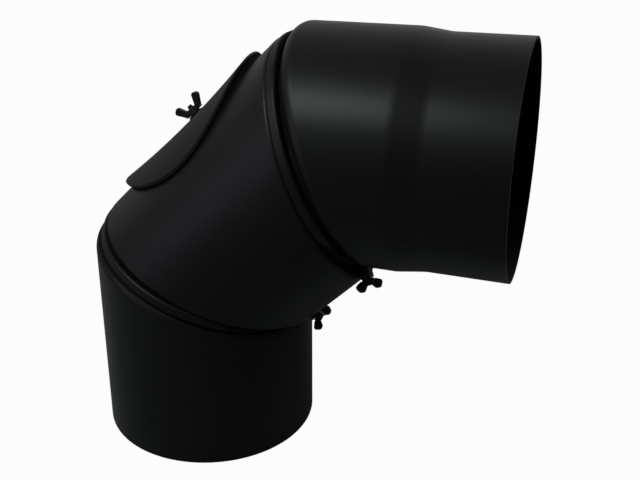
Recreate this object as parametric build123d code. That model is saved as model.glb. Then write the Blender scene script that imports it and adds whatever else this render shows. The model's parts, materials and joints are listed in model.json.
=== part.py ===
from build123d import *
import math
import os

# Stove pipe elbow with door: three tubes joined by two swivels, each with its
# joint plane halfway between the two tubes it joins. Millimetres. The origin is
# the centre of the inlet rim, the inlet tube stands along +Z and the outlet
# points along +X.

# Pipe
pipe_bore = 150.0
wall = 2.0
bend_angle = 45.0
lower_length = 116.6
middle_length = 144.7
upper_length = 114.3

# Outlet spigot, swaged to slide into the bore of the next pipe
spigot_clearance = 1.0
spigot_length = 50.0
swage_length = 18.0
swage_radius = 30.0

# Swivel joints: a flanged neck on the end tube turns inside a rolled collar
neck_inset = 3.0
flange_height = 2.4
swivel_clearance = 0.3
flange_setback = 7.4
collar_edge_radius = 1.6
segment_edge_radius = 3.0
shoulder_gap = 0.6
shoulder_radius = 8.0

# Locking screw of each collar, placed by an angle around the collar from the throat
screw_diameter = 4.0
screw_running_gap = 0.05
screw_tip_gap = 0.3
screw_hub_diameter = 8.0
screw_hub_height = 4.6
screw_wing_span = 20.0
screw_wing_height = 8.5
lower_screw_turn = -30.0
upper_screw_turn = 30.0
lower_screw_place = 0.0
upper_screw_place = -17.0
screw_seat_gap = 0.3
boss_width = 6.2
boss_length = 9.0
boss_rise = 0.4
boss_corner_radius = 1.0

# Door on the heel of the middle tube
door_offset = 0.5
opening_length = 114.0
opening_width = 86.0
cover_margin = 10.0
cover_thickness = 1.5
cover_bow_radius = 750.0
gasket_thickness = 1.8
gasket_inset = 1.0
gasket_clearance = 0.3
gasket_glue_gap = 0.05

# Door fastening
bridge_overlap = 8.0
bridge_width = 14.0
bridge_thickness = 3.0
bridge_clearance = 0.2
stud_offset = 6.0
stud_diameter = 4.0
stud_projection = 8.0
stud_head_flats = 7.0
stud_head_height = 2.8
stud_seat_gap = 0.1
stud_hole_clearance = 0.5
washer_diameter = 12.0
washer_thickness = 1.0
washer_hole_clearance = 0.4
washer_seat_gap = 0.1
nut_running_gap = 0.05
nut_seat_gap = 0.1
nut_hub_diameter = 8.0
nut_hub_height = 4.6
nut_wing_span = 19.6
nut_wing_height = 10.0

# Wings of the nut and of the locking screws
wing_width = 3.9
wing_thickness = 2.4
wing_corner_radius = 1.0
wing_root = 0.75
hub_taper = 0.85

# Sizes that follow from the values above
joint_tilt = bend_angle / 2
tilt_cos = math.cos(math.radians(joint_tilt))
tilt_sin = math.sin(math.radians(joint_tilt))
tube_radius = pipe_bore / 2 + wall
spigot_radius = (pipe_bore - spigot_clearance) / 2
neck_radius = tube_radius - neck_inset
flange_radius = neck_radius + flange_height
channel_radius = flange_radius + swivel_clearance
collar_radius = channel_radius + wall
lip_radius = neck_radius + swivel_clearance
channel_half = wall / 2 + swivel_clearance
collar_half = channel_half + wall
shoulder_offset = collar_half + shoulder_gap - flange_setback

# The weld nut's top clears the throat of the middle tube, so that the wings can turn
throat_height = (tube_radius + (flange_setback + screw_hub_diameter / 2) * tilt_sin) / tilt_cos
boss_top = throat_height + boss_rise

bend_cos = math.cos(math.radians(bend_angle))
bend_sin = math.sin(math.radians(bend_angle))
lower_joint = Vector(0, 0, lower_length)
middle_direction = Vector(bend_sin, 0, bend_cos)
heel_direction = Vector(-bend_cos, 0, bend_sin)
upper_joint = lower_joint + middle_direction * middle_length
upper_direction = Vector(math.sin(math.radians(2 * bend_angle)), 0, math.cos(math.radians(2 * bend_angle)))
upper_heel = Vector(-upper_direction.Z, 0, upper_direction.X)

# Frames: each end tube runs along +Z away from its joint with +X to the heel,
# and the middle tube runs along +X with +Z to the heel
lower_frame = Plane(origin=lower_joint, x_dir=(-1, 0, 0), z_dir=(0, 0, -1))
upper_frame = Plane(origin=upper_joint, x_dir=upper_heel, z_dir=upper_direction)
middle_centre = lower_joint + middle_direction * (middle_length / 2)
middle_frame = Plane(origin=middle_centre, x_dir=middle_direction, z_dir=heel_direction)


def joint_plane(offset):
    """Plane across an end tube's joint, moved towards the tube's free end."""
    normal = Vector(tilt_sin, 0, tilt_cos)
    return Plane(origin=normal * offset, x_dir=(tilt_cos, 0, -tilt_sin), z_dir=normal)


def disc(plane, radius, start, end):
    """Round slab about the plane's normal, between two heights."""
    slab = Cylinder(radius, end - start, align=(Align.CENTER, Align.CENTER, Align.MIN))
    return plane * Pos(0, 0, start) * slab


def rounded_stub(blank, offset, radius):
    """Tube blank cut along the joint, with the slanted edge rounded."""
    cut = joint_plane(offset)
    stub = split(blank, bisect_by=cut, keep=Keep.TOP)
    cut_face = stub.faces().sort_by(Axis(cut.origin, cut.z_dir))[0]
    return fillet(cut_face.edges(), radius)


def end_tube(outer_blank, inner_blank):
    """End tube with its rounded shoulder, neck and captive flange."""
    plane = joint_plane(0)
    outer = rounded_stub(outer_blank, shoulder_offset, shoulder_radius)
    outer += disc(plane, neck_radius, -flange_setback - wall / 2, shoulder_offset + shoulder_radius)
    outer += disc(plane, flange_radius, -flange_setback - wall / 2, wall / 2 - flange_setback)
    inner = rounded_stub(inner_blank, shoulder_offset + wall, shoulder_radius - wall)
    inner += disc(plane, neck_radius - wall, -flange_setback - wall, shoulder_offset + shoulder_radius)
    return outer - inner


def plain_blank(radius, length):
    """Solid bar from behind the joint to the free rim."""
    behind = tube_radius
    return Pos(0, 0, -behind) * Cylinder(
        radius, behind + length, align=(Align.CENTER, Align.CENTER, Align.MIN)
    )


def swaged_blank(inset):
    """Solid bar that narrows to the spigot, moved inwards by the inset."""
    behind = tube_radius
    swage_end = upper_length - spigot_length
    swage_start = swage_end - swage_length
    profile = Polyline(
        (0, -behind),
        (tube_radius - inset, -behind),
        (tube_radius - inset, swage_start),
        (spigot_radius - inset, swage_end),
        (spigot_radius - inset, upper_length),
        (0, upper_length),
        close=True,
    )
    face = make_face(Plane.XZ * profile)
    bends = [v for v in face.vertices() if abs(v.Z - swage_start) < 1e-6 or abs(v.Z - swage_end) < 1e-6]
    return revolve(fillet(bends, swage_radius), Axis.Z)


def lower_tube():
    """Inlet tube, plain bore that takes the spigot of the pipe below."""
    blank = plain_blank(tube_radius, lower_length)
    bore = plain_blank(tube_radius - wall, lower_length)
    return lower_frame * end_tube(blank, bore)


def upper_tube():
    """Outlet tube with its swaged spigot."""
    return upper_frame * end_tube(swaged_blank(0), swaged_blank(wall))


def flange_plane():
    """Plane of the flange at the outlet end of the middle tube, facing the end tube."""
    normal = Vector(tilt_cos, 0, -tilt_sin)
    joint = Vector(middle_length / 2, 0, 0)
    return Plane(origin=joint - normal * flange_setback, x_dir=(-tilt_sin, 0, -tilt_cos), z_dir=normal)


def both_ends(piece):
    """A piece of the outlet end together with its mirror image at the inlet end."""
    return piece + mirror(piece, about=Plane.YZ)


def segment_bar(radius):
    """Solid bar along the middle tube, longer than the tube."""
    reach = middle_length / 2 + tube_radius
    return extrude(Plane.YZ * Circle(radius), amount=reach, both=True)


def segment_stub(radius, offset):
    """Bar cut off at both ends, each cut moved from the flange's plane."""
    cut = flange_plane().offset(offset)
    other = Plane(origin=(-cut.origin.X, 0, cut.origin.Z), z_dir=(-cut.z_dir.X, 0, cut.z_dir.Z))
    stub = split(segment_bar(radius), bisect_by=cut, keep=Keep.BOTTOM)
    return split(stub, bisect_by=other, keep=Keep.BOTTOM)


def collar_blank():
    """Rolled collar at the outlet end, as a solid disc with rounded edges."""
    blank = disc(flange_plane(), collar_radius, -collar_half, collar_half)
    return fillet(blank.edges(), collar_edge_radius)


def door_prism(length, width):
    """Upright oval bar through the heel, centred on the door."""
    return Pos(door_offset, 0, 0) * extrude(Ellipse(length / 2, width / 2), amount=2 * tube_radius)


def screw_plane(height):
    """Plane across the locking screw at a distance from the swivel axis."""
    joint = flange_plane()
    return Plane(origin=joint.origin + joint.x_dir * height, x_dir=joint.y_dir, z_dir=joint.x_dir)


def around_collar(piece, place):
    """A piece of the outlet collar's locking screw, moved around the collar by an angle."""
    joint = flange_plane()
    return piece.rotate(Axis(joint.origin, joint.z_dir), place)


def screw_hole(start, end):
    """Threaded hole for the locking screw, between two distances from the swivel axis."""
    return disc(screw_plane(0), screw_diameter / 2 + screw_running_gap, start, end)


def middle_segment():
    """Middle tube with rounded ends, its two collars and the door opening."""
    joint = flange_plane()
    shell = segment_stub(tube_radius, -collar_half)
    rims = shell.edges().filter_by(GeomType.ELLIPSE)
    shell = fillet(rims, segment_edge_radius) + both_ends(collar_blank())
    shell -= segment_stub(tube_radius - wall, -collar_half - wall)
    passage = disc(joint, lip_radius, -collar_half - 2 * wall, collar_half + wall)
    passage += disc(joint, channel_radius, -channel_half, channel_half)
    shell -= both_ends(passage)
    hole = screw_hole(flange_radius, collar_radius + wall)
    shell -= mirror(around_collar(hole, lower_screw_place), about=Plane.YZ)
    shell -= around_collar(hole, upper_screw_place)
    shell -= door_prism(opening_length, opening_width)
    return middle_frame * shell


def collar_boss(place):
    """Weld nut of the outlet collar's locking screw."""
    outline = RectangleRounded(boss_length, boss_width, boss_corner_radius)
    boss = extrude(screw_plane(channel_radius) * outline, amount=boss_top - channel_radius)
    boss -= disc(flange_plane(), collar_radius, -boss_width, boss_width)
    boss -= screw_hole(channel_radius, boss_top + wall)
    return around_collar(boss, place)


def winged_head(hub_diameter, hub_height, span, height):
    """Tapered hub with two wings, standing on its base along +Z."""
    head = Cone(
        hub_diameter / 2,
        hub_diameter / 2 * hub_taper,
        hub_height,
        align=(Align.CENTER, Align.CENTER, Align.MIN),
    )
    root = Vector(hub_diameter / 2 * wing_root, 0, hub_height / 2)
    tip = Vector(span / 2 - wing_width / 2, 0, height - wing_width / 2)
    lean = math.degrees(math.atan2(tip.X - root.X, tip.Z - root.Z))
    length = (tip - root).length + wing_width
    outline = RectangleRounded(wing_width, length, wing_corner_radius)
    wing = extrude(Plane.XZ * outline, amount=wing_thickness / 2, both=True)
    centre = (root + tip) * 0.5
    wing = Pos(centre.X, 0, centre.Z) * Rot(0, lean, 0) * wing
    return head + wing + mirror(wing, about=Plane.YZ)


def collar_screw(turn, place):
    """Locking wing screw of the outlet collar, backed off from the flange."""
    tip = flange_radius + screw_tip_gap
    base = boss_top + screw_seat_gap
    head = winged_head(screw_hub_diameter, screw_hub_height, screw_wing_span, screw_wing_height)
    shank = disc(screw_plane(0), screw_diameter / 2, tip, base + screw_hub_height / 2)
    return around_collar(shank + screw_plane(base) * Rot(0, 0, turn) * head, place)


def cover_sweep(bottom, top):
    """Slab over the heel between two heights, bowed inwards along its length."""
    section = Circle(tube_radius + top) - Circle(tube_radius + bottom)
    reach = opening_width / 2 + 2 * cover_margin
    section &= Pos(0, tube_radius) * Rectangle(2 * reach, 2 * tube_radius)
    axis = Axis((0, 0, tube_radius + gasket_thickness + cover_bow_radius), (0, 1, 0))
    half_length = opening_length / 2 + 2 * cover_margin + abs(stud_offset - door_offset)
    half_turn = math.degrees(half_length / cover_bow_radius)
    slab = revolve((Plane.YZ * section).rotate(axis, -half_turn), axis, 2 * half_turn)
    return Pos(stud_offset, 0, 0) * slab


def door_hole(diameter):
    """Round bar along the stud."""
    return Pos(stud_offset, 0, 0) * Cylinder(
        diameter / 2, 2 * tube_radius, align=(Align.CENTER, Align.CENTER, Align.MIN)
    )


def door_cover():
    """Oval saddle plate, pulled in a little at the middle by the wing nut."""
    plate = cover_sweep(gasket_thickness, gasket_thickness + cover_thickness)
    plate &= door_prism(opening_length + 2 * cover_margin, opening_width + 2 * cover_margin)
    plate -= door_hole(stud_diameter + 2 * stud_hole_clearance)
    return middle_frame * plate


def door_gasket():
    """Fibre ring glued under the cover, thinner where the cover is pulled in."""
    reach = 2 * (cover_margin - gasket_inset)
    ring = door_prism(opening_length + reach, opening_width + reach)
    ring -= door_prism(opening_length + 2 * gasket_inset, opening_width + 2 * gasket_inset)
    ring &= cover_sweep(-2 * wall, gasket_thickness - gasket_glue_gap)
    return middle_frame * (ring - segment_bar(tube_radius + gasket_clearance))


def bridge_top():
    """Height at which the bridge's edges meet the curved inside of the heel."""
    return math.sqrt((tube_radius - wall) ** 2 - (bridge_width / 2) ** 2) - bridge_clearance


def door_bridge():
    """Flat bar inside the opening, its ends under the heel wall."""
    length = opening_length + 2 * bridge_overlap
    bar = RectangleRounded(length, bridge_width, bridge_width / 4)
    bar -= Pos(stud_offset - door_offset, 0) * Circle(stud_diameter / 2 + stud_seat_gap)
    return middle_frame * Pos(door_offset, 0, bridge_top()) * extrude(bar, amount=-bridge_thickness)


def cover_top():
    """Height of the cover's outer face at the stud."""
    return tube_radius + gasket_thickness + cover_thickness


def door_stud():
    """Threaded stud with a hexagon head under the bridge."""
    seat = bridge_top() - bridge_thickness - stud_seat_gap
    head = RegularPolygon(stud_head_flats / 2, 6, major_radius=False)
    stud = Pos(0, 0, seat) * extrude(head, amount=-stud_head_height)
    tip = cover_top() + stud_projection
    shank = Cylinder(stud_diameter / 2, tip - seat, align=(Align.CENTER, Align.CENTER, Align.MIN))
    stud += Pos(0, 0, seat) * shank
    stud = chamfer(stud.edges().sort_by(Axis.Z)[-1], stud_diameter / 8)
    return middle_frame * Pos(stud_offset, 0, 0) * stud


def door_washer():
    """Flat washer under the wing nut."""
    ring = Circle(washer_diameter / 2)
    ring -= Circle(stud_diameter / 2 + washer_hole_clearance)
    return middle_frame * Pos(stud_offset, 0, washer_seat()) * extrude(ring, amount=washer_thickness)


def washer_seat():
    """Height of the washer's underside, on the curved cover."""
    return cover_top() + washer_seat_gap


def door_wing_nut():
    """Wing nut on the stud, its wings along the heel."""
    nut = winged_head(nut_hub_diameter, nut_hub_height, nut_wing_span, nut_wing_height)
    nut -= Cylinder(stud_diameter / 2 + nut_running_gap, 2 * nut_wing_height)
    seat = washer_seat() + washer_thickness + nut_seat_gap
    return middle_frame * Pos(stud_offset, 0, seat) * nut


lower_screw = collar_screw(lower_screw_turn, lower_screw_place)

parts = {
    "lower_tube": lower_tube(),
    "middle_segment": middle_segment(),
    "upper_tube": upper_tube(),
    "lower_collar_boss": middle_frame * mirror(collar_boss(lower_screw_place), about=Plane.YZ),
    "upper_collar_boss": middle_frame * collar_boss(upper_screw_place),
    "lower_collar_screw": middle_frame * mirror(lower_screw, about=Plane.YZ),
    "upper_collar_screw": middle_frame * collar_screw(upper_screw_turn, upper_screw_place),
    "door_cover": door_cover(),
    "door_gasket": door_gasket(),
    "door_bridge": door_bridge(),
    "door_stud": door_stud(),
    "door_washer": door_washer(),
    "door_wing_nut": door_wing_nut(),
}

os.makedirs("parts", exist_ok=True)
for name, solid in parts.items():
    export_step(solid, f"parts/{name}.step")
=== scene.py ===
import json
import math

import bpy
from mathutils import Matrix, Vector


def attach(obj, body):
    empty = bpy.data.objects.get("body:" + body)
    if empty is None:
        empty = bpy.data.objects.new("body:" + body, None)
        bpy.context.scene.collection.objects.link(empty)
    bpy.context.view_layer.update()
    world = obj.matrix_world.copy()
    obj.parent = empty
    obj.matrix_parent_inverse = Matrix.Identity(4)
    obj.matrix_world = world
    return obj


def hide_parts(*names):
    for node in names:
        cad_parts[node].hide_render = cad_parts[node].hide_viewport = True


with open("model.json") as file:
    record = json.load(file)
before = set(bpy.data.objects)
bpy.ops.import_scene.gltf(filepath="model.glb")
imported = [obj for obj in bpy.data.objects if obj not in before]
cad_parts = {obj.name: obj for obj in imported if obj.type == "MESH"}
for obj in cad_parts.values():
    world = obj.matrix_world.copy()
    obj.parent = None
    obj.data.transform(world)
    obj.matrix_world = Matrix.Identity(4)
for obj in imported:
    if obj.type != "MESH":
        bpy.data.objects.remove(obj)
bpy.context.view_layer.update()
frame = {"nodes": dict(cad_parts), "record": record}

bpy.ops.object.select_all(action="DESELECT")


# Tubes and collars
# Two-millimetre sheet steel, rolled, welded and pressed to shape, then sprayed with
# heat-resistant satin black and baked, together with the weld nuts and the door's bridge.
# The spray leaves a fine dry grain outside; the inside is drawn near-black and matt, which is
# painted shade of the unlit bore.
def painted_steel(name, tint, sheen):
    """Satin black stove paint: fine sprayed grain over faint clouds of gloss."""
    film_gloss = 0.075
    film_tint = (1.0, 1.0, 0.93, 1.0)
    cloud_scale = 11.0
    cloud_detail = 4.0
    cloud_low, cloud_high = 0.3, 0.7
    tint_low, tint_high = 0.8, 1.2
    sheen_low, sheen_high = sheen - 0.02, sheen + 0.03
    grain_scale = 2400.0
    grain_detail = 2.0
    grain_strength = 0.3
    grain_height = 0.000012
    material = bpy.data.materials.new(name)
    material.use_nodes = True
    nodes = material.node_tree.nodes
    links = material.node_tree.links
    shader = nodes["Principled BSDF"]
    shader.inputs["Specular IOR Level"].default_value = film_gloss
    shader.inputs["Specular Tint"].default_value = film_tint
    place = nodes.new("ShaderNodeTexCoord")
    place.name = "place"

    clouds = nodes.new("ShaderNodeTexNoise")
    clouds.inputs["Scale"].default_value = cloud_scale
    clouds.inputs["Detail"].default_value = cloud_detail
    links.new(place.outputs["Object"], clouds.inputs["Vector"])

    colour = nodes.new("ShaderNodeValToRGB")
    colour.name = "colour"
    darker, lighter = colour.color_ramp.elements
    darker.position = cloud_low
    darker.color = (*[tint_low * c for c in tint], 1.0)
    lighter.position = cloud_high
    lighter.color = (*[tint_high * c for c in tint], 1.0)
    links.new(clouds.outputs["Fac"], colour.inputs["Fac"])
    links.new(colour.outputs["Color"], shader.inputs["Base Color"])

    gloss = nodes.new("ShaderNodeMapRange")
    gloss.name = "gloss"
    gloss.inputs["From Min"].default_value = cloud_low
    gloss.inputs["From Max"].default_value = cloud_high
    gloss.inputs["To Min"].default_value = sheen_low
    gloss.inputs["To Max"].default_value = sheen_high
    links.new(clouds.outputs["Fac"], gloss.inputs["Value"])
    links.new(gloss.outputs["Result"], shader.inputs["Roughness"])

    grain = nodes.new("ShaderNodeTexNoise")
    grain.inputs["Scale"].default_value = grain_scale
    grain.inputs["Detail"].default_value = grain_detail
    links.new(place.outputs["Object"], grain.inputs["Vector"])
    relief = nodes.new("ShaderNodeBump")
    relief.name = "relief"
    relief.inputs["Strength"].default_value = grain_strength
    relief.inputs["Distance"].default_value = grain_height
    links.new(grain.outputs["Fac"], relief.inputs["Height"])
    links.new(relief.outputs["Normal"], shader.inputs["Normal"])
    return material


def painted_shade_inside(material, centre, lean, inner_radius):
    """Painted shade: matt near-black on all that lies within a radius of a tube's axis, which
    leans from upright.
    """
    # The near-black matt colour stands in for the shade inside the tube.
    painted_shade_tint = (0.0005, 0.0005, 0.0005, 1.0)
    painted_shade_roughness = 0.95
    edge = 0.0004
    nodes = material.node_tree.nodes
    links = material.node_tree.links
    shader = nodes["Principled BSDF"]
    upright = nodes.new("ShaderNodeMapping")
    upright.vector_type = "TEXTURE"
    upright.inputs["Location"].default_value = centre
    upright.inputs["Rotation"].default_value = (0.0, lean, 0.0)
    links.new(nodes["place"].outputs["Object"], upright.inputs["Vector"])
    flat = nodes.new("ShaderNodeVectorMath")
    flat.operation = "MULTIPLY"
    flat.inputs[1].default_value = (1.0, 1.0, 0.0)
    links.new(upright.outputs["Vector"], flat.inputs[0])
    radius = nodes.new("ShaderNodeVectorMath")
    radius.operation = "LENGTH"
    links.new(flat.outputs["Vector"], radius.inputs[0])
    inside = nodes.new("ShaderNodeMapRange")
    inside.inputs["From Min"].default_value = inner_radius - edge
    inside.inputs["From Max"].default_value = inner_radius + edge
    inside.inputs["To Min"].default_value = 1.0
    inside.inputs["To Max"].default_value = 0.0
    links.new(radius.outputs["Value"], inside.inputs["Value"])

    tint = nodes.new("ShaderNodeMix")
    tint.data_type = "RGBA"
    tint.inputs["B"].default_value = painted_shade_tint
    links.new(inside.outputs["Result"], tint.inputs["Factor"])
    links.new(nodes["colour"].outputs["Color"], tint.inputs["A"])
    links.new(tint.outputs["Result"], shader.inputs["Base Color"])
    dull = nodes.new("ShaderNodeMix")
    dull.inputs["B"].default_value = painted_shade_roughness
    links.new(inside.outputs["Result"], dull.inputs["Factor"])
    links.new(nodes["gloss"].outputs["Result"], dull.inputs["A"])
    links.new(dull.outputs["Result"], shader.inputs["Roughness"])


def dress(node, material):
    """Gives a CAD node its finish."""
    slots = frame["nodes"][node].data.materials
    slots.clear()
    slots.append(material)


tube_tint = (0.0021, 0.0021, 0.0017)
tube_sheen = 0.42
# Radii within which the inside of each tube is painted shade, near-black and matt.
tube_shade_radius = 0.0755
spigot_shade_radius = 0.0735
inlet_centre = (0.0, 0.0, 0.0)
segment_centre = (0.051159, 0.0, 0.167759)
outlet_centre = (0.0, 0.0, 0.218918)
inlet_paint = painted_steel("inlet_paint", tube_tint, tube_sheen)
painted_shade_inside(inlet_paint, inlet_centre, 0.0, tube_shade_radius)
dress("lower_tube", inlet_paint)
segment_paint = painted_steel("segment_paint", tube_tint, tube_sheen)
painted_shade_inside(segment_paint, segment_centre, math.radians(45.0), tube_shade_radius)
for segment_node in ("middle_segment", "door_bridge"):
    dress(segment_node, segment_paint)
outlet_paint = painted_steel("outlet_paint", tube_tint, tube_sheen)
painted_shade_inside(outlet_paint, outlet_centre, math.radians(90.0), spigot_shade_radius)
dress("upper_tube", outlet_paint)
boss_paint = painted_steel("boss_paint", tube_tint, tube_sheen)
for boss_node in ("lower_collar_boss", "upper_collar_boss"):
    dress(boss_node, boss_paint)


# Door plate
# Oval saddle cut from the same sheet, pressed to the curve of the heel and sprayed
# with the tubes. The wing nut pulls its middle down on the gasket.
door_tint = (0.0022, 0.0022, 0.0019)
door_sheen = 0.56
door_paint = painted_steel("door_paint", door_tint, door_sheen)
dress("door_cover", door_paint)


# Gasket
# Ring of woven glass fibre, rubbed with graphite. It is glued under the door plate and
# gives way to the curve of the heel.
gasket_tint = (0.0012, 0.0012, 0.0012)
gasket_sheen = 0.93
weave_scale = 260.0
weave_waver = 2.0
weave_depth = 0.0002
gasket_black = painted_steel("gasket_black", gasket_tint, gasket_sheen)
gasket_nodes = gasket_black.node_tree.nodes
gasket_links = gasket_black.node_tree.links
weave = gasket_nodes.new("ShaderNodeTexWave")
weave.bands_direction = "DIAGONAL"
weave.inputs["Scale"].default_value = weave_scale
weave.inputs["Distortion"].default_value = weave_waver
gasket_links.new(gasket_nodes["place"].outputs["Object"], weave.inputs["Vector"])
gasket_links.new(weave.outputs["Fac"], gasket_nodes["relief"].inputs["Height"])
gasket_nodes["relief"].inputs["Distance"].default_value = weave_depth
dress("door_gasket", gasket_black)


# Wing nut of the door
# Hot-forged steel, barrel-finished so that no edge is left sharp, then blackened.
# Two round-cornered paddles stand on a foot across a low hub, which runs on the door's stud.
def pick(piece, kind, wanted):
    """Opens a piece in edit mode with only the wanted faces or edges selected."""
    bpy.ops.object.mode_set(mode="EDIT")
    bpy.ops.mesh.select_mode(type=kind)
    bpy.ops.mesh.select_all(action="DESELECT")
    bpy.ops.object.mode_set(mode="OBJECT")
    for element in piece.data.polygons if kind == "FACE" else piece.data.edges:
        element.select = wanted(element)
    bpy.ops.object.mode_set(mode="EDIT")


def take(main, *others):
    """Selects some pieces and nothing else, with the main one active."""
    bpy.ops.object.select_all(action="DESELECT")
    for piece in (main, *others):
        piece.select_set(True)
    bpy.context.view_layer.objects.active = main


def forged_wings(name, hub_radius, hub_height, foot_reach, reach, tip_width, thickness, lean):
    """Forged hub on a foot with two leaning paddles along X, standing on its base along Z."""
    hub_taper = 0.86
    hub_sides = 48
    foot_clear = 0.0009
    foot_height = 0.0028
    root_width = 0.0038
    tip_thinning = 0.8
    corner_share = 0.36
    corner_steps = 6
    billet = 0.0002
    barrel_turns = 9
    hair = 1e-5
    foot_middle = foot_clear + foot_height / 2
    bpy.ops.object.select_all(action="DESELECT")
    bpy.ops.mesh.primitive_cube_add(size=1.0)
    paddle = bpy.context.active_object
    paddle.scale = (reach, thickness, root_width)
    paddle.location = (reach / 2, 0.0, 0.0)
    bpy.ops.object.transform_apply(location=True, rotation=False, scale=True)
    pick(paddle, "FACE", lambda face: face.normal.x > 0.9)
    bpy.ops.transform.resize(
        value=(1.0, tip_thinning, tip_width / root_width),
        center_override=(reach, 0.0, 0.0),
    )
    bpy.ops.object.mode_set(mode="OBJECT")
    corners = paddle.data.vertices

    def across_tip(edge):
        start, end = [corners[i].co for i in edge.vertices]
        return min(start.x, end.x) > reach - hair and abs(start.z - end.z) < hair

    pick(paddle, "EDGE", across_tip)
    bpy.ops.mesh.bevel(offset=corner_share * tip_width, segments=corner_steps, affect="EDGES")
    bpy.ops.object.mode_set(mode="OBJECT")
    paddle.location = (foot_reach - root_width / 2, 0.0, foot_middle)
    paddle.rotation_euler = (0.0, -lean, 0.0)
    bpy.ops.object.transform_apply(location=True, rotation=True, scale=False)
    pair = paddle.modifiers.new("pair", "MIRROR")
    pair.use_mirror_merge = False
    bpy.ops.object.modifier_apply(modifier="pair")

    bpy.ops.mesh.primitive_cube_add(size=1.0)
    foot = bpy.context.active_object
    foot.scale = (2 * foot_reach, thickness, foot_height)
    foot.location = (0.0, 0.0, foot_middle)
    bpy.ops.object.transform_apply(location=True, rotation=False, scale=True)
    bpy.ops.mesh.primitive_cone_add(
        vertices=hub_sides,
        radius1=hub_radius,
        radius2=hub_radius * hub_taper,
        depth=hub_height,
        location=(0.0, 0.0, hub_height / 2),
    )
    piece = bpy.context.active_object
    piece.name = name
    bpy.ops.object.transform_apply(location=True, rotation=False, scale=False)
    take(piece, paddle, foot)
    bpy.ops.object.join()
    cast = piece.modifiers.new("billet", "REMESH")
    cast.mode = "VOXEL"
    cast.voxel_size = billet
    bpy.ops.object.modifier_apply(modifier="billet")
    barrel = piece.modifiers.new("barrel", "SMOOTH")
    barrel.factor = 0.5
    barrel.iterations = barrel_turns
    bpy.ops.object.modifier_apply(modifier="barrel")
    bpy.ops.object.shade_smooth()
    return piece


def turned_joint(joint_name):
    """Place and direction of a fastener's axis."""
    for joint in frame["record"]["behaviour"]["joints"]:
        if joint["name"] == joint_name:
            return Vector(joint["pos_m"]), Vector(joint["axis"]).normalized()


def fasten(piece, joint_name, base, wings, node):
    """Stands a winged piece on its axis at a distance, with its wings along a direction."""
    place, axis = turned_joint(joint_name)
    along = (Vector(wings) - Vector(wings).dot(axis) * axis).normalized()
    across = axis.cross(along)
    stand = Matrix((along, across, axis)).transposed().to_4x4()
    stand.translation = place + axis * base
    piece.data.transform(stand)
    piece.data.materials.clear()
    piece.data.materials.append(fastener_black)
    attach(piece, node)
    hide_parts(node)


fastener_tint = (0.0026, 0.0026, 0.0026)
fastener_sheen = 0.36
crease = math.radians(40.0)
nut_base = 0.0815
nut_bore_radius = 0.00215
nut_bore_depth = 0.03
along_heel = (0.70711, 0.0, 0.70711)
fastener_black = painted_steel("fastener_black", fastener_tint, fastener_sheen)
nut = forged_wings(
    "forged_wing_nut",
    hub_radius=0.0042,
    hub_height=0.0046,
    foot_reach=0.0072,
    reach=0.0098,
    tip_width=0.0058,
    thickness=0.0034,
    lean=math.radians(58.0),
)
bpy.ops.mesh.primitive_cylinder_add(vertices=48, radius=nut_bore_radius, depth=nut_bore_depth)
nut_bore = bpy.context.active_object
take(nut)
tapped = nut.modifiers.new("tapped", "BOOLEAN")
tapped.operation = "DIFFERENCE"
tapped.object = nut_bore
bpy.ops.object.modifier_apply(modifier="tapped")
bpy.data.objects.remove(nut_bore)
bpy.ops.object.shade_smooth_by_angle(angle=crease)
fasten(nut, "wing_nut_turn", nut_base, along_heel, "door_wing_nut")
dress("door_washer", fastener_black)


# Locking screws of the collars
# Forged like the nut, each with a plain shank that runs through its weld nut and
# stops just short of the captive flange.
def locking_screw(name, joint_name, wings, node):
    """Winged head with its shank, in its collar."""
    head_base = 0.088765
    shank_radius = 0.002
    shank_tip = 0.0767
    shank_hold = 0.002
    shank_chamfer = 0.0004
    screw = forged_wings(
        name,
        hub_radius=0.004,
        hub_height=0.0044,
        foot_reach=0.0056,
        reach=0.0064,
        tip_width=0.0070,
        thickness=0.0046,
        lean=math.radians(36.0),
    )
    shank_length = head_base - shank_tip + shank_hold
    bpy.ops.mesh.primitive_cylinder_add(
        vertices=32,
        radius=shank_radius,
        depth=shank_length,
        location=(0.0, 0.0, shank_hold - shank_length / 2),
    )
    shank = bpy.context.active_object
    bpy.ops.object.transform_apply(location=True, rotation=False, scale=False)
    pick(shank, "FACE", lambda face: face.normal.z < -0.9)
    bpy.ops.mesh.bevel(offset=shank_chamfer, segments=2, affect="EDGES")
    bpy.ops.object.mode_set(mode="OBJECT")
    bpy.ops.object.shade_smooth_by_angle(angle=crease)
    take(screw, shank)
    bpy.ops.object.join()
    fasten(screw, joint_name, head_base, wings, node)


lower_wings = (0.19134, 0.86603, 0.46194)
upper_wings = (0.55884, 0.82818, -0.04259)
locking_screw("lower_wing_screw", "lower_screw_turn", lower_wings, "lower_collar_screw")
locking_screw("upper_wing_screw", "upper_screw_turn", upper_wings, "upper_collar_screw")


# Door stud
# Four-millimetre steel stud with a rolled thread. Its hexagon head holds under the
# bridge, and its end stands out of the wing nut.
stud_seat = 0.07137
stud_tip = 0.0883
stud_length = stud_tip - stud_seat
stud_head_radius = 0.00404
stud_head_height = 0.0028
stud_head_chamfer = 0.0004
thread_crest = 0.00198
thread_root = 0.0016
thread_pitch = 0.0007
thread_lead_in = 0.0006
rings_per_turn = 6
bpy.ops.object.select_all(action="DESELECT")
bpy.ops.mesh.primitive_cylinder_add(
    vertices=30,
    radius=thread_crest,
    depth=stud_length,
    location=(0.0, 0.0, (stud_seat + stud_tip) / 2),
)
stud = bpy.context.active_object
stud.name = "threaded_stud"
bpy.ops.object.transform_apply(location=True, rotation=False, scale=False)
stud_ends = stud.data.vertices


def along_stud(edge):
    """Whether an edge of the blank runs from one end of the stud to the other."""
    start, end = [stud_ends[i].co for i in edge.vertices]
    return abs(start.z - end.z) > stud_length / 2


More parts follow.
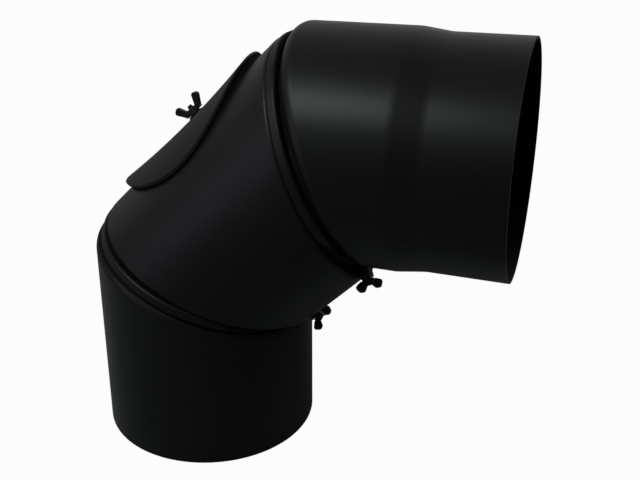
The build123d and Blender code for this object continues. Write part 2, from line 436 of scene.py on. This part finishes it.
pick(stud, "EDGE", along_stud)
bpy.ops.mesh.subdivide(number_cuts=int(stud_length / thread_pitch * rings_per_turn))
bpy.ops.object.mode_set(mode="OBJECT")
for point in stud.data.vertices:
    turn = (point.co.z / thread_pitch - math.atan2(point.co.y, point.co.x) / math.tau) % 1.0
    lead_in = max(0.0, point.co.z - (stud_tip - thread_lead_in))
    radius = thread_root + (thread_crest - thread_root) * (1.0 - abs(2.0 * turn - 1.0))
    radius = min(radius, thread_crest - lead_in)
    point.co.xy = point.co.xy.normalized() * radius
bpy.ops.object.shade_smooth_by_angle(angle=math.radians(35.0))
bpy.ops.mesh.primitive_cylinder_add(
    vertices=6,
    radius=stud_head_radius,
    depth=stud_head_height,
    location=(0.0, 0.0, stud_seat - stud_head_height / 2),
)
stud_head = bpy.context.active_object
bpy.ops.object.transform_apply(location=True, rotation=False, scale=False)
pick(stud_head, "FACE", lambda face: face.normal.z < -0.9)
bpy.ops.mesh.bevel(offset=stud_head_chamfer, segments=2, affect="EDGES")
bpy.ops.object.mode_set(mode="OBJECT")
take(stud, stud_head)
bpy.ops.object.join()
stud_place, stud_axis = turned_joint("wing_nut_turn")
stud_across = Vector((0.0, 1.0, 0.0))
stud_stand = Matrix((stud_across.cross(stud_axis), stud_across, stud_axis)).transposed().to_4x4()
stud_stand.translation = stud_place
stud.data.transform(stud_stand)
stud.data.materials.clear()
stud.data.materials.append(fastener_black)
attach(stud, "middle_segment")
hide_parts("door_stud")


# Studio floor
# Grey floor under the elbow, without an edge in sight. The camera itself sees it almost
# white, while its light on the tubes stays low.
floor_size = 12.0
floor_grey = (0.22, 0.22, 0.22, 1.0)
floor_roughness = 0.9
floor_white_share = 0.97
bpy.ops.mesh.primitive_plane_add(size=floor_size)
floor = bpy.context.active_object
floor.name = "studio_floor"
floor_paint = bpy.data.materials.new("floor_paint")
floor_paint.use_nodes = True
floor_nodes = floor_paint.node_tree.nodes
floor_links = floor_paint.node_tree.links
floor_shader = floor_nodes["Principled BSDF"]
floor_shader.inputs["Base Color"].default_value = floor_grey
floor_shader.inputs["Roughness"].default_value = floor_roughness
floor_glow = floor_nodes.new("ShaderNodeEmission")
floor_glow.inputs["Strength"].default_value = 1.0
floor_rays = floor_nodes.new("ShaderNodeLightPath")
floor_seen = floor_nodes.new("ShaderNodeMath")
floor_seen.operation = "MULTIPLY"
floor_seen.inputs[1].default_value = floor_white_share
floor_links.new(floor_rays.outputs["Is Camera Ray"], floor_seen.inputs[0])
floor_mix = floor_nodes.new("ShaderNodeMixShader")
floor_links.new(floor_seen.outputs["Value"], floor_mix.inputs["Fac"])
floor_links.new(floor_shader.outputs["BSDF"], floor_mix.inputs[1])
floor_links.new(floor_glow.outputs["Emission"], floor_mix.inputs[2])
floor_links.new(floor_mix.outputs["Shader"], floor_nodes["Material Output"].inputs["Surface"])
floor.data.materials.append(floor_paint)


# Studio room
# White walls as the camera sees them, with little light of their own. What the paint
# mirrors of them is bright beyond the elbow and dim behind the camera.
room_strength = 0.22
room_bright_side = (-0.36, 0.9, 0.25)
room_dim_from, room_bright_from = -0.3, 0.7
mirrored_dim, mirrored_bright = 0.05, 0.6
room = bpy.data.worlds.new("studio_room")
room.use_nodes = True
bpy.context.scene.world = room
room_nodes = room.node_tree.nodes
room_links = room.node_tree.links
room_light = room_nodes["Background"]
room_light.inputs["Color"].default_value = (1.0, 1.0, 1.0, 1.0)
room_light.inputs["Strength"].default_value = room_strength
room_white = room_nodes.new("ShaderNodeBackground")
room_white.inputs["Color"].default_value = (1.0, 1.0, 1.0, 1.0)
room_white.inputs["Strength"].default_value = 1.0
room_rays = room_nodes.new("ShaderNodeLightPath")
room_direction = room_nodes.new("ShaderNodeTexCoord")
room_front = room_nodes.new("ShaderNodeVectorMath")
room_front.operation = "DOT_PRODUCT"
room_front.inputs[1].default_value = room_bright_side
room_links.new(room_direction.outputs["Generated"], room_front.inputs[0])
room_back = room_nodes.new("ShaderNodeMapRange")
room_back.inputs["From Min"].default_value = room_dim_from
room_back.inputs["From Max"].default_value = room_bright_from
room_back.inputs["To Min"].default_value = mirrored_dim
room_back.inputs["To Max"].default_value = mirrored_bright
room_links.new(room_front.outputs["Value"], room_back.inputs["Value"])
room_mirrored = room_nodes.new("ShaderNodeMath")
room_mirrored.operation = "MULTIPLY"
room_links.new(room_rays.outputs["Is Glossy Ray"], room_mirrored.inputs[0])
room_links.new(room_back.outputs["Result"], room_mirrored.inputs[1])
room_direct = room_nodes.new("ShaderNodeMath")
room_direct.operation = "MAXIMUM"
room_links.new(room_rays.outputs["Is Camera Ray"], room_direct.inputs[0])
room_links.new(room_rays.outputs["Is Transmission Ray"], room_direct.inputs[1])
room_seen = room_nodes.new("ShaderNodeMath")
room_seen.operation = "MAXIMUM"
room_links.new(room_direct.outputs["Value"], room_seen.inputs[0])
room_links.new(room_mirrored.outputs["Value"], room_seen.inputs[1])
room_mix = room_nodes.new("ShaderNodeMixShader")
room_links.new(room_seen.outputs["Value"], room_mix.inputs["Fac"])
room_links.new(room_light.outputs["Background"], room_mix.inputs[1])
room_links.new(room_white.outputs["Background"], room_mix.inputs[2])
room_links.new(room_mix.outputs["Shader"], room_nodes["World Output"].inputs["Surface"])


# Lamps
# A large soft lamp above the front left, the faint cool light of a window at the left,
# and a lamp for the far side.
def soft_lamp(name, target, direction, distance, width, height, watts, colour):
    """Rectangular lamp at a distance from the target, turned to face it."""
    bpy.ops.object.light_add(type="AREA")
    lamp = bpy.context.active_object
    lamp.name = name
    lamp.data.shape = "RECTANGLE"
    lamp.data.size = width
    lamp.data.size_y = height
    lamp.data.energy = watts
    lamp.data.color = colour
    away = Vector(direction).normalized()
    lamp.location = Vector(target) + away * distance
    lamp.rotation_euler = away.to_track_quat("Z", "Y").to_euler()


soft_lamp(
    "key_lamp",
    target=(0.13, -0.05, 0.26),
    direction=(-0.40, -0.54, 0.74),
    distance=1.1,
    width=0.5,
    height=0.35,
    watts=16.0,
    colour=(0.88, 1.0, 1.04),
)
soft_lamp(
    "window_lamp",
    target=(0.05, -0.07, 0.17),
    direction=(-0.74, -0.65, 0.22),
    distance=1.4,
    width=0.9,
    height=0.9,
    watts=6.6,
    colour=(0.9, 0.88, 1.22),
)
soft_lamp(
    "back_lamp",
    target=(0.08, 0.05, 0.17),
    direction=(0.55, 0.72, 0.42),
    distance=1.3,
    width=0.6,
    height=0.45,
    watts=6.0,
    colour=(1.0, 1.0, 1.0),
)


# Camera
# In front of the elbow and a little above it, looking down on it. The lens is shifted,
# as in a picture that was cut out of a larger one.
photo_width = 640.0
focal_pixels = 893.8
centre_right = -55.15
centre_down = -49.53
camera_place = (0.261141, -0.527683, 0.401191)
camera_yaw = math.radians(22.057)
camera_dip = math.radians(21.319)
camera_roll = math.radians(-1.303)
bpy.ops.object.camera_add(location=camera_place)
camera = bpy.context.active_object
camera.rotation_euler = (
    Matrix.Rotation(camera_yaw, 3, "Z")
    @ Matrix.Rotation(math.pi / 2 - camera_dip, 3, "X")
    @ Matrix.Rotation(camera_roll, 3, "Z")
).to_euler()
camera.data.sensor_width = 36.0
camera.data.lens = focal_pixels / photo_width * camera.data.sensor_width
camera.data.shift_x = -centre_right / photo_width
camera.data.shift_y = centre_down / photo_width
camera.data.clip_start = 0.01
bpy.context.scene.camera = camera
bpy.context.scene.view_settings.view_transform = "Standard"
